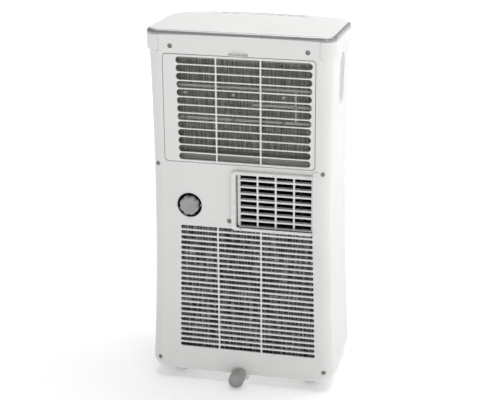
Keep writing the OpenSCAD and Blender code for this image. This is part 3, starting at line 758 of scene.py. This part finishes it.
def stems_and_sump(name, r, stem_z, inset, sump_z):
    """Bars of radius r on the castors' axes, and a block for the sump, smaller by inset all round."""
    bm = bmesh.new()
    for x, y in castor_spots():
        loft(bm, along_z(circle(x, y, r, 24), *stem_z))
    block(bm, (-12 * MM + inset, REAR_Y - 44 * MM + inset, sump_z[0]),
          (20 * MM - inset, REAR_Y - 8 * MM - inset, sump_z[1]))
    return mesh_object(name, bm)


def base_pan():
    """Floor plate over the castors, with a rim round it, stem sockets and the drain sump."""
    pan = casing_solid("base_pan_tray", WALL + 0.4 * MM, BASE_Z + 0.05 * MM, RIM_TOP)
    combine(pan, casing_solid("hollow", WALL + 2.9 * MM, FLOOR_Z + 3 * MM, RIM_TOP + 2 * MM))
    combine(pan, casing_solid("under", WALL + 2.9 * MM, BASE_Z - 2 * MM, FLOOR_Z))
    solid = ((FLOOR_Z + 1 * MM, RIM_TOP), 0, (6 * MM, FLOOR_Z + 2.9 * MM))
    hollow = ((FLOOR_Z - 2 * MM, RIM_TOP - 4 * MM), 3 * MM, (8.5 * MM, FLOOR_Z + 6 * MM))
    combine(pan, stems_and_sump("stems", 8 * MM, *solid), "UNION")
    stub, drain = disc_hole(*BASE_DRAIN, 11), disc_hole(*BASE_DRAIN, 8.5)
    combine(pan, lofted("stub", along_y(stub(0), REAR_Y - 20 * MM, REAR_Y + 6 * MM)), "UNION")
    combine(pan, stems_and_sump("bores", 4.05 * MM, *hollow))
    combine(pan, lofted("drain", along_y(drain(0), REAR_Y - 12 * MM, REAR_Y + 7 * MM)))
    return place(finish_shape(pan), "base_pan")


def castor_spots():
    """Swivel axes: x from the forks, y set in from the rear and the front."""
    spots = []
    for k in range(1, 5):
        lo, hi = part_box(f"castor_fork_{k}")
        spots.append(((lo.x + hi.x) / 2, REAR_Y - 50 * MM if lo.y > 0 else FRONT_Y + 58 * MM))
    return spots


# ---------------------------------------------------------------- top

def profile_rings(half, profile, z_rear):
    """Rings of a closed section that follows the top's outline: profile holds (inset, height)."""
    return [top_ring(half, inset * MM, z_rear + rise * MM) for inset, rise in profile]


def top_cover():
    """Skirt round the top, open at the rear between its two wrapped corners."""
    low = SKIRT_Z + 0.4 * MM
    hem = ((1.2, 0), (0.35, 0.25), (0, 1.2), (0, 5))
    shoulder = ((0, -3), (0, -1.4), (0.4, -0.5), (1.3, -0.1), (12, -0.1), (12, -3), (3, -3))
    outer = [plan_ring(SKIRT_HALF, inset * MM, low + rise * MM) for inset, rise in hem]
    upper = profile_rings(SKIRT_HALF, shoulder, DECK_Z)
    inner = [plan_ring(SKIRT_HALF, 3 * MM, low + 8 * MM), plan_ring(SKIRT_HALF, 3 * MM, low)]
    skirt = lofted("top_cover_skirt", outer + upper + inner, closed=True)
    half = STRIP_HALF + 0.5 * MM
    combine(skirt, block_object("rear_gap", (-half, REAR_Y - WALL - 0.4 * MM, 0.6),
                                (half, REAR_Y + 10 * MM, 0.72)))
    return place(finish_shape(skirt), "top_cover")


def trim_ring():
    """Silver band: upright at its foot, leaning in over the lid's edge."""
    outside = ((1.0, 0.05), (0.3, 0.35), (0.0, 1.1), (0.1, 2.6), (0.6, 4.2), (1.5, 5.7), (2.7, 6.9))
    inside = ((4.0, 7.7), (4.9, 8.0), (5.3, 7.7), (5.4, 6.0), (12, 6.0), (12, 0.05))
    ring = lofted("trim_band", profile_rings(TRIM_HALF, outside + inside, DECK_Z), closed=True)
    return place(finish_shape(ring, 50), "trim_ring", slot="silver_trim")


def lid_height(x, y):
    """Dome of the lid over the line of the trim."""
    across = 1 - abs(x / TRIM_HALF) ** 5
    along = math.sin(math.pi * min(max((REAR_Y - y) / BODY_D, 0), 1)) ** 0.45
    return DOME * across * along


def lid_ring(inset, rise, share=0.0):
    """Outline of the lid pulled towards its middle by share."""
    middle_y = (REAR_Y + FRONT_Y) / 2
    points = []
    for x, y in plan(TRIM_HALF, inset * MM, TOP_R):
        px = x * (1 - share)
        py = middle_y + (y - middle_y) * (1 - share)
        points.append((px, py, top_line(TRIM_TOP_Z, px, py) + rise * MM + lid_height(px, py)))
    return points


def top_panel():
    """Domed lid with a rounded edge and a pocket for the control panel."""
    shares = [0.03, 0.07, 0.13, 0.21, 0.31, 0.43, 0.56, 0.7, 0.84, 0.96]
    profile = ((8, -3.2), (5.9, -3.2), (5.8, -1.2), (5.9, -0.5), (6.3, -0.1), (7.1, 0.15))
    under = [lid_ring(8, -3.2, share) for share in reversed(shares)]
    edge = [lid_ring(inset, rise) for inset, rise in profile]
    over = [lid_ring(8, 0.3, share) for share in [0.01] + shares]
    lid = lofted("lid_skin", under + edge + over)
    combine(lid, panel_pocket())
    return place(finish_shape(lid), "top_panel")


def panel_frame():
    """Tilted frame of the control panel: centre of its face and its turn about X."""
    lo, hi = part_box("control_panel")
    tilt = math.atan2(hi.z - lo.z - 2.5 * MM, hi.y - lo.y)
    return Vector((0, (lo.y + hi.y) / 2, (lo.z + hi.z) / 2)), tilt


def panel_pocket():
    """Cutter for the control panel's pocket in the lid."""
    lo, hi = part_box("control_panel")
    centre, tilt = panel_frame()
    grow = 0.15 * MM
    pocket = block_object("pocket", (lo.x - grow, lo.y - centre.y - grow, -20 * MM),
                          (hi.x + grow, hi.y - centre.y + grow, 20 * MM))
    pocket.data.transform(Matrix.Translation(centre) @ Matrix.Rotation(tilt, 4, "X"))
    return pocket


# ---------------------------------------------------------------- rear fittings

def filter_grille():
    """Door of the filter: rounded plate with rims and three columns of slots."""
    hinge_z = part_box("filter_grille")[0].z
    door = rect_hole(-140, 140, DOOR_BOTTOM, 646.5, 6)
    plate = boss_object("filter_grille_door", door, REAR_Y - 6 * MM, REAR_Y, 0.7 * MM)
    back = rect_hole(-137, 137, DOOR_BOTTOM + 3, 643.5, 3)
    combine(plate, lofted("back", along_y(back(0), REAR_Y - 8 * MM, REAR_Y - 2.5 * MM)))
    tabs = bmesh.new()
    for x in (-90, 74):
        block(tabs, (x * MM, REAR_Y - 5.5 * MM, hinge_z),
              ((x + 16) * MM, REAR_Y - 3.2 * MM, hinge_z + 6 * MM))
    combine(plate, mesh_object("tabs", tabs), "UNION")
    combine(plate, holes_object("slots", slot_specs(**FILTER_SLOTS)))
    return place(finish_shape(plate), "filter_grille", body="filter_door")


def filter_mesh():
    """Filter net: fine crossed strands in a thin rim."""
    lo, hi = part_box("filter_mesh")
    pitch = 2.3 * MM
    strand = 0.34 * MM
    mid = (lo.y + hi.y) / 2
    bm = bmesh.new()
    for k in range(int((hi.x - lo.x) / pitch)):
        x = lo.x + (k + 0.5) * pitch
        block(bm, (x - strand / 2, mid, lo.z), (x + strand / 2, mid + strand, hi.z))
    for k in range(int((hi.z - lo.z) / pitch)):
        z = lo.z + (k + 0.5) * pitch
        block(bm, (lo.x, mid - strand, z - strand / 2), (hi.x, mid, z + strand / 2))
    rim = 1.5 * MM
    low, high = lo.z + rim, hi.z - rim
    for x0, z0, x1, z1 in ((lo.x, lo.z, hi.x, low), (lo.x, high, hi.x, hi.z),
                           (lo.x, low, lo.x + rim, high), (hi.x - rim, low, hi.x, high)):
        block(bm, (x0, lo.y, z0), (x1, hi.y, z1))
    net = mesh_object("filter_net", bm)
    return place(net, "filter_mesh", body="filter_door", slot="filter_net")


def fin_pack(node, name, seed):
    """Stack of thin upright fins, some of them bent, threaded by rows of tubes."""
    lo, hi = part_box(node)
    rng = random.Random(seed)
    bm = bmesh.new()
    thick = 0.35 * MM
    for k in range(int((hi.x - lo.x) / FIN_PITCH)):
        x = lo.x + (k + 0.5) * FIN_PITCH
        lean = rng.uniform(-0.35, 0.35) * MM
        if rng.random() < 0.12:
            lean = rng.uniform(-0.8, 0.8) * MM
        rings = []
        for z in evenly(lo.z, hi.z, 8):
            bend = lean + rng.uniform(-0.3, 0.3) * MM
            front = min(max(x + bend, lo.x), hi.x - thick)
            rings.append([(x, lo.y, z), (x + thick, lo.y, z),
                          (front + thick, hi.y, z), (front, hi.y, z)])
        loft(bm, rings)
    fin_tubes(bm, lo, hi)
    return place(mesh_object(name, bm), node, slot="coil_fins")


def fin_tubes(bm, lo, hi):
    """Two staggered rows of tubes across the fins."""
    count = int((hi.z - lo.z) / (25 * MM))
    for row, share in enumerate((0.28, 0.72)):
        y = lo.y + share * (hi.y - lo.y)
        for k in range(count):
            z = lo.z + (k + 0.5 + 0.25 * row) * (hi.z - lo.z) / count
            if z < hi.z - 6 * MM:
                loft(bm, along_x(circle(y, z, 4 * MM, 12), lo.x, hi.x))


def exhaust_frame():
    """Raised guide frame, open on one side for the hose adaptor, with clip notches."""
    lo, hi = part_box("exhaust_frame")
    x0, x1, z0, z1 = (v / MM for v in (lo.x, hi.x, lo.z, hi.z))
    rails = boss_object("exhaust_frame_rails", rect_hole(x0, x1, z0, z1, 0.8, 8), lo.y, hi.y, 0.8 * MM)
    channel = rect_hole(x0 - 20, x1 - 2.5, z0 + 2.5, z1 - 2.5, 3, 5)
    combine(rails, lofted("channel", along_y(channel(0), lo.y - 1 * MM, hi.y - 2 * MM)), solver="EXACT")
    window = (rect_hole(x0 - 20, x1 - 8.2, z0 + 5.5, z1 - 5.5, 3, 4), hi.y, 12 * MM, 0.7 * MM)
    combine(rails, holes_object("window", [window]), solver="EXACT")
    combine(rails, clip_notches(x1, z0, z1, hi.y), solver="EXACT")
    return place(finish_shape(rails), "exhaust_frame")


def clip_notches(x1, z0, z1, face):
    """Small cuts in the frame's face: five along its rails and one in its closed side."""
    upper = [(-3.7, z1 - 3.6), (-66.3, z1 - 3.0), (-131.9, z1 - 2.6)]
    lower = [(-4.7, z0 + 3.4), (-67.2, z0 + 2.6)]
    y0, y1 = face - 3 * MM, face + 1 * MM
    bm = bmesh.new()
    for x, z in upper + lower:
        block(bm, ((x - 1.8) * MM, y0, (z - 0.8) * MM), ((x + 1.8) * MM, y1, (z + 0.8) * MM))
    block(bm, ((x1 - 5.9) * MM, y0, 373 * MM), ((x1 - 4.2) * MM, y1, 376.8 * MM))
    return mesh_object("notches", bm)


def exhaust_grille():
    """Grille of the outlet: thin uprights and round-edged bars, with slats behind them."""
    lo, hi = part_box("exhaust_grille")
    x0, x1, z0, z1 = (v / MM for v in (lo.x, hi.x, lo.z, hi.z))
    left, low = x1 - 1.8, z0 + 2.6
    outline = rect_hole(x0, left, low, z1, 1.0, 5.0)
    plate = boss_object("exhaust_grille_bars", outline, hi.y - 4 * MM, hi.y, 0.3 * MM)
    rows, columns, bar, upright = 8, 4, 3.4, 3.2
    first, last = low + 1.6, z1 - 3.4
    pitch = (last - first + bar) / rows
    start, end = x0 + 1.5, left - 5.2
    width = (end - start + upright) / columns
    cells = []
    for row in range(rows):
        z = first + row * pitch
        for column in range(columns):
            x = start + column * width
            cell = rect_hole(x, x + width - upright, z, z + pitch - bar, 0.7)
            cells.append((cell, hi.y, 8 * MM, 0.5 * MM))
    combine(plate, holes_object("cells", cells), solver="EXACT")
    finish_shape(plate)
    levels = [(first + row * pitch - bar) * MM for row in range(rows)]
    exhaust_slats((x0 + 0.9) * MM, (left - 0.9) * MM, levels, hi.y)
    return place(plate, "exhaust_grille")


def exhaust_slats(x0, x1, levels, face):
    """Slats that slope up behind the grille's bars, one at each level."""
    bm = bmesh.new()
    for z in levels:
        section = [(face - 4.1 * MM, z), (face - 4.1 * MM, z + 1.4 * MM),
                   (face - 9 * MM, z + 3.4 * MM), (face - 9.4 * MM, z + 2.4 * MM)]
        loft(bm, along_x(section, x0, x1))
    extra(mesh_object("exhaust_slats", bm), "casing")


def drain_shade_lining():
    """Black lining of the drain's bowl: painted shade, a dark sheet that stands in for the shadow inside
    the bowl.
    """
    section = ((23.2, -2.2), (23.2, -15.8), (10.6, -15.8), (10.6, -15.2), (22.6, -15.2), (22.6, -2.2))
    rings = []
    for r, depth in section:
        outline = disc_hole(*DRAIN, r)
        rings += along_y(outline(0), REAR_Y + depth * MM)
    # Black rubber here is painted shade for the inside of the bowl.
    extra(finish_shape(lofted("drain_shade_lining", rings, closed=True)), "rubber_black")


def inner_guard():
    """Rails behind the filter: three across, the middle one short, an upright and small nubs."""
    lo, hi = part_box("inner_guard")
    top, middle, low = GUARD_RAILS
    bm = bmesh.new()
    for z, end in ((top, hi.x), (middle, lo.x + 0.42 * (hi.x - lo.x)), (low, hi.x)):
        block(bm, (lo.x, lo.y, z * MM - 2.2 * MM), (end, hi.y, z * MM + 2.2 * MM))
    for x in GUARD_NUB_X:
        for z in GUARD_NUB_Z:
            block(bm, ((x - 3) * MM, lo.y, (z - 2.4) * MM), ((x + 3) * MM, hi.y, (z + 2.4) * MM))
    x = GUARD_UPRIGHT_X
    block(bm, ((x - 2) * MM, lo.y, low * MM), ((x + 2) * MM, hi.y, top * MM))
    guard = mesh_object("inner_guard_rails", bm)
    return place(finish_shape(guard, bevel=0.4 * MM), "inner_guard")


def cap_ring(cx, cz, y, sides, radius):
    """Ring round a cap's axis; radius is a function of the angle."""
    turns = [2 * math.pi * k / sides for k in range(sides)]
    return [(cx + radius(turn) * math.cos(turn), y, cz + radius(turn) * math.sin(turn)) for turn in turns]


def drain_cap():
    """Knob of the middle drain: scalloped edge and a plain face with a shallow dimple."""
    lo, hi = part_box("drain_cap")
    cx, cz = (lo.x + hi.x) / 2, (lo.z + hi.z) / 2
    r = (hi.x - lo.x) / 2
    lobes, deep = 8, 0.14

    def ring(scale, y, scallop):
        def radius(turn):
            return r * scale * (1 - scallop * max(0.0, math.cos(lobes * turn)) ** 2)
        return cap_ring(cx, cz, y, 96, radius)

    rings = [ring(0.98, lo.y + 7.5 * MM, deep), ring(1.0, lo.y + 8.5 * MM, deep),
             ring(1.0, hi.y - 3 * MM, deep), ring(0.97, hi.y - 1.2 * MM, deep),
             ring(0.9, hi.y - 0.3 * MM, deep * 0.8), ring(0.84, hi.y, deep * 0.5),
             ring(0.5, hi.y, 0.02), ring(0.45, hi.y - 0.5 * MM, 0), ring(0.2, hi.y - 0.5 * MM, 0)]
    knob = lofted("drain_cap_knob", rings)
    skirt, socket = disc(cx, cz, 13 * MM), disc(cx, cz, 10.4 * MM)
    combine(knob, lofted("skirt", along_y(skirt, lo.y, lo.y + 9 * MM)), "UNION")
    combine(knob, lofted("socket", along_y(socket, lo.y - 1 * MM, lo.y + 8.4 * MM)))
    return place(finish_shape(knob, 40), "drain_cap", body="drain_cap_body", slot="rubber_grey")


def base_drain_cap():
    """Ribbed rubber cap on the bottom drain, with a shallow recess in its end."""
    lo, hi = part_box("base_drain_cap")
    cx, cz = (lo.x + hi.x) / 2, (lo.z + hi.z) / 2
    r = (hi.x - lo.x) / 2
    ribs = 16

    def ring(reach, y, rib=0.0):
        return cap_ring(cx, cz, y, 64, lambda turn: reach - rib * (0.5 + 0.5 * math.cos(ribs * turn)))

    body = r - 1 * MM
    rib = 0.9 * MM
    rings = [ring(body - 0.5 * MM, lo.y), ring(body, lo.y + 0.6 * MM), ring(body, lo.y + 7 * MM),
             ring(r, lo.y + 8.5 * MM, rib), ring(r, lo.y + 18 * MM, rib),
             ring(body, lo.y + 19.5 * MM), ring(body, hi.y - 1.6 * MM),
             ring(body - 0.5 * MM, hi.y - 0.4 * MM), ring(body - 1.6 * MM, hi.y),
             ring(body - 4 * MM, hi.y), ring(body - 4.6 * MM, hi.y - 0.8 * MM),
             ring(2 * MM, hi.y - 0.8 * MM)]
    cap = lofted("base_drain_cap_ribbed", rings)
    combine(cap, lofted("bore", along_y(disc(cx, cz, 11.35 * MM), lo.y - 1 * MM, lo.y + 13 * MM)))
    finish_shape(cap, 40)
    return place(cap, "base_drain_cap", body="base_drain_cap_body", slot="rubber_grey")


def handle_cup(node, side):
    """Recessed grip with a rounded lip; side is 1 at +X and -1 at -X."""
    lo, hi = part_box(node)
    deep, mouth = (lo.x, hi.x) if side > 0 else (hi.x, lo.x)
    outward = side * MM
    lip = ((0, 1.2), (-0.3, 0.4), (-1.0, 0.1), (-1.8, 0.6), (-2.4, 2.2))
    bowl = ((-3.2, 8), (-5.0, 3.4), (-9.0, 2))
    profile = [(0, deep)] + [(grow, mouth - below * outward) for grow, below in lip]
    profile += [(grow, deep + above * outward) for grow, above in bowl]
    rings = [[(x, y, z) for y, z in stadium(grow * MM)] for grow, x in profile]
    cup = lofted("grip_cup_" + ("left" if side > 0 else "right"), rings)
    return place(finish_shape(cup), node)


def outlet_frame():
    """Frame of the front outlet: its lip follows the bowed front."""
    lo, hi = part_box("outlet_frame")
    front = [(x, bow_y(x, -0.2 * MM) + 0.4 * MM) for x in evenly(lo.x, hi.x, 32)]
    outline = front + [(hi.x, hi.y), (lo.x, hi.y)]
    body = lofted("outlet_frame_body", along_z(outline, lo.z, hi.z))
    wall = 3 * MM
    combine(body, block_object("duct", (lo.x + wall, FRONT_Y - 20 * MM, lo.z + wall),
                               (hi.x - wall, hi.y + 10 * MM, hi.z - wall)))
    return place(finish_shape(body, bevel=0.5 * MM), "outlet_frame")


# ---------------------------------------------------------------- carried-over CAD nodes

# Bevel of each small node's edges, in millimetres.
EDGED = {
    "drain_spout": 0.3, "drain_strap": 0.5, "cord_gland": 0.5, "control_panel": 0.4,
    "display_window": 0.2, "screws": 0.2, "air_flap_upper": 0.5, "air_flap_lower": 0.5,
    **{f"air_vane_{k}": 0.4 for k in range(1, 4)},
    **{f"castor_fork_{k}": 0.6 for k in range(1, 5)},
    **{f"castor_wheel_{k}": 1.2 for k in range(1, 5)},
    **{f"button_{key}": 0.5 for key in ("power", "mode", "fan", "down", "up")},
}


def edge_node(node, width):
    """Rounds the edges of a CAD node that keeps its own mesh."""
    obj = frame["nodes"][node]
    weld = obj.modifiers.new("weld", "WELD")
    weld.merge_threshold = 0.005 * MM
    edge = obj.modifiers.new("edges", "BEVEL")
    edge.width = width * MM
    edge.segments = 2
    edge.limit_method = "ANGLE"
    edge.angle_limit = math.radians(40)
    obj.modifiers.new("normals", "WEIGHTED_NORMAL")


def dress_nodes():
    """Every CAD node that stays gets its slot's material, and the small ones round edges."""
    slots = {part["node"]: part["material_slot"] for part in frame["record"]["subparts"]}
    for name, obj in frame["nodes"].items():
        if not obj.hide_render:
            paint(obj, slots[name])
    for node, width in EDGED.items():
        edge_node(node, width)


# ---------------------------------------------------------------- stage

def camera():
    """The photograph's viewing angle: from behind, above and to the unit's right."""
    sin_pan, cos_pan = math.sin(CAMERA_PAN), math.cos(CAMERA_PAN)
    sin_dip, cos_dip = math.sin(CAMERA_DIP), math.cos(CAMERA_DIP)
    forward = Vector((sin_pan * cos_dip, -cos_pan * cos_dip, -sin_dip))
    right = Vector((-cos_pan, -sin_pan, 0))
    down = Vector((-sin_pan * sin_dip, cos_pan * sin_dip, -cos_dip))
    across = math.cos(CAMERA_ROLL) * right + math.sin(CAMERA_ROLL) * down
    below = math.cos(CAMERA_ROLL) * down - math.sin(CAMERA_ROLL) * right
    data = bpy.data.cameras.new("camera")
    data.lens = CAMERA_LENS
    data.sensor_width = CAMERA_SENSOR
    data.clip_end = 50
    obj = bpy.data.objects.new("camera", data)
    bpy.context.scene.collection.objects.link(obj)
    turn = Matrix((across, -below, -forward)).transposed().to_4x4()
    obj.matrix_world = Matrix.Translation(CAMERA_AT) @ turn
    bpy.context.scene.camera = obj


def area_light(name, place_at, target, size, power):
    """Square light at place_at, turned towards target."""
    data = bpy.data.lights.new(name, "AREA")
    data.shape = "SQUARE"
    data.size = size
    data.energy = power
    obj = bpy.data.objects.new(name, data)
    bpy.context.scene.collection.objects.link(obj)
    obj.location = place_at
    obj.rotation_euler = (Vector(target) - Vector(place_at)).to_track_quat("-Z", "Y").to_euler()


def floor():
    """White floor whose own light rises with the distance from the object."""
    bm = bmesh.new()
    bmesh.ops.create_grid(bm, x_segments=1, y_segments=1, size=12)
    obj = mesh_object("floor", bm)
    n = Nodes("floor_white")
    n.color(n.blend(n.noise(3, 2), (0.92, 0.92, 0.92), (0.95, 0.95, 0.95)))
    n.shader.inputs["Roughness"].default_value = 0.9
    n.shader.inputs["Specular IOR Level"].default_value = 0.0
    n.shader.inputs["Emission Color"].default_value = (1, 1, 1, 1)
    distance = n.add("ShaderNodeVectorMath", operation="LENGTH")
    n.link(n.place, distance.inputs[0])
    glow = n.remap(distance.outputs["Value"], *FLOOR_GLOW, *FLOOR_REACH)
    n.link(glow, n.shader.inputs["Emission Strength"])
    obj.data.materials.append(n.material)


def world():
    """White surroundings, brighter at the horizon than overhead."""
    scene = bpy.context.scene
    scene.world = bpy.data.worlds.new("studio")
    scene.world.use_nodes = True
    tree = scene.world.node_tree
    background = tree.nodes["Background"]
    background.inputs["Color"].default_value = (1, 1, 1, 1)
    split = tree.nodes.new("ShaderNodeSeparateXYZ")
    fade = tree.nodes.new("ShaderNodeMapRange")
    ranges = {"From Min": 0.03, "From Max": 0.2, "To Min": HORIZON_GLOW, "To Max": ZENITH_GLOW}
    for name, value in ranges.items():
        fade.inputs[name].default_value = value
    direction = tree.nodes.new("ShaderNodeTexCoord")
    tree.links.new(direction.outputs["Generated"], split.inputs["Vector"])
    tree.links.new(split.outputs["Z"], fade.inputs["Value"])
    tree.links.new(fade.outputs["Result"], background.inputs["Strength"])
    scene.view_settings.view_transform = "Standard"


def lights():
    """Broad light from above, with weaker ones from the -X side and from the rear."""
    middle = (0, 0, 0.35)
    area_light("key", (-2.8, -0.7, 1.3), middle, 2.0, 9)
    area_light("overhead", (-0.3, -0.45, 3.0), middle, 2.6, 68)
    area_light("rear_key", (-1.7, 2.4, 1.9), middle, 0.7, 7)


camera()
floor()
world()
lights()
rear_cover()
front_case()
front_panel()
base_pan()
top_cover()
trim_ring()
top_panel()
filter_grille()
filter_mesh()
fin_pack("condenser", "condenser_fins", seed=3)
fin_pack("evaporator", "evaporator_fins", seed=5)
exhaust_frame()
exhaust_grille()
inner_guard()
drain_shade_lining()
drain_cap()
base_drain_cap()
handle_cup("handle_cup_left", 1)
handle_cup("handle_cup_right", -1)
outlet_frame()
dress_nodes()
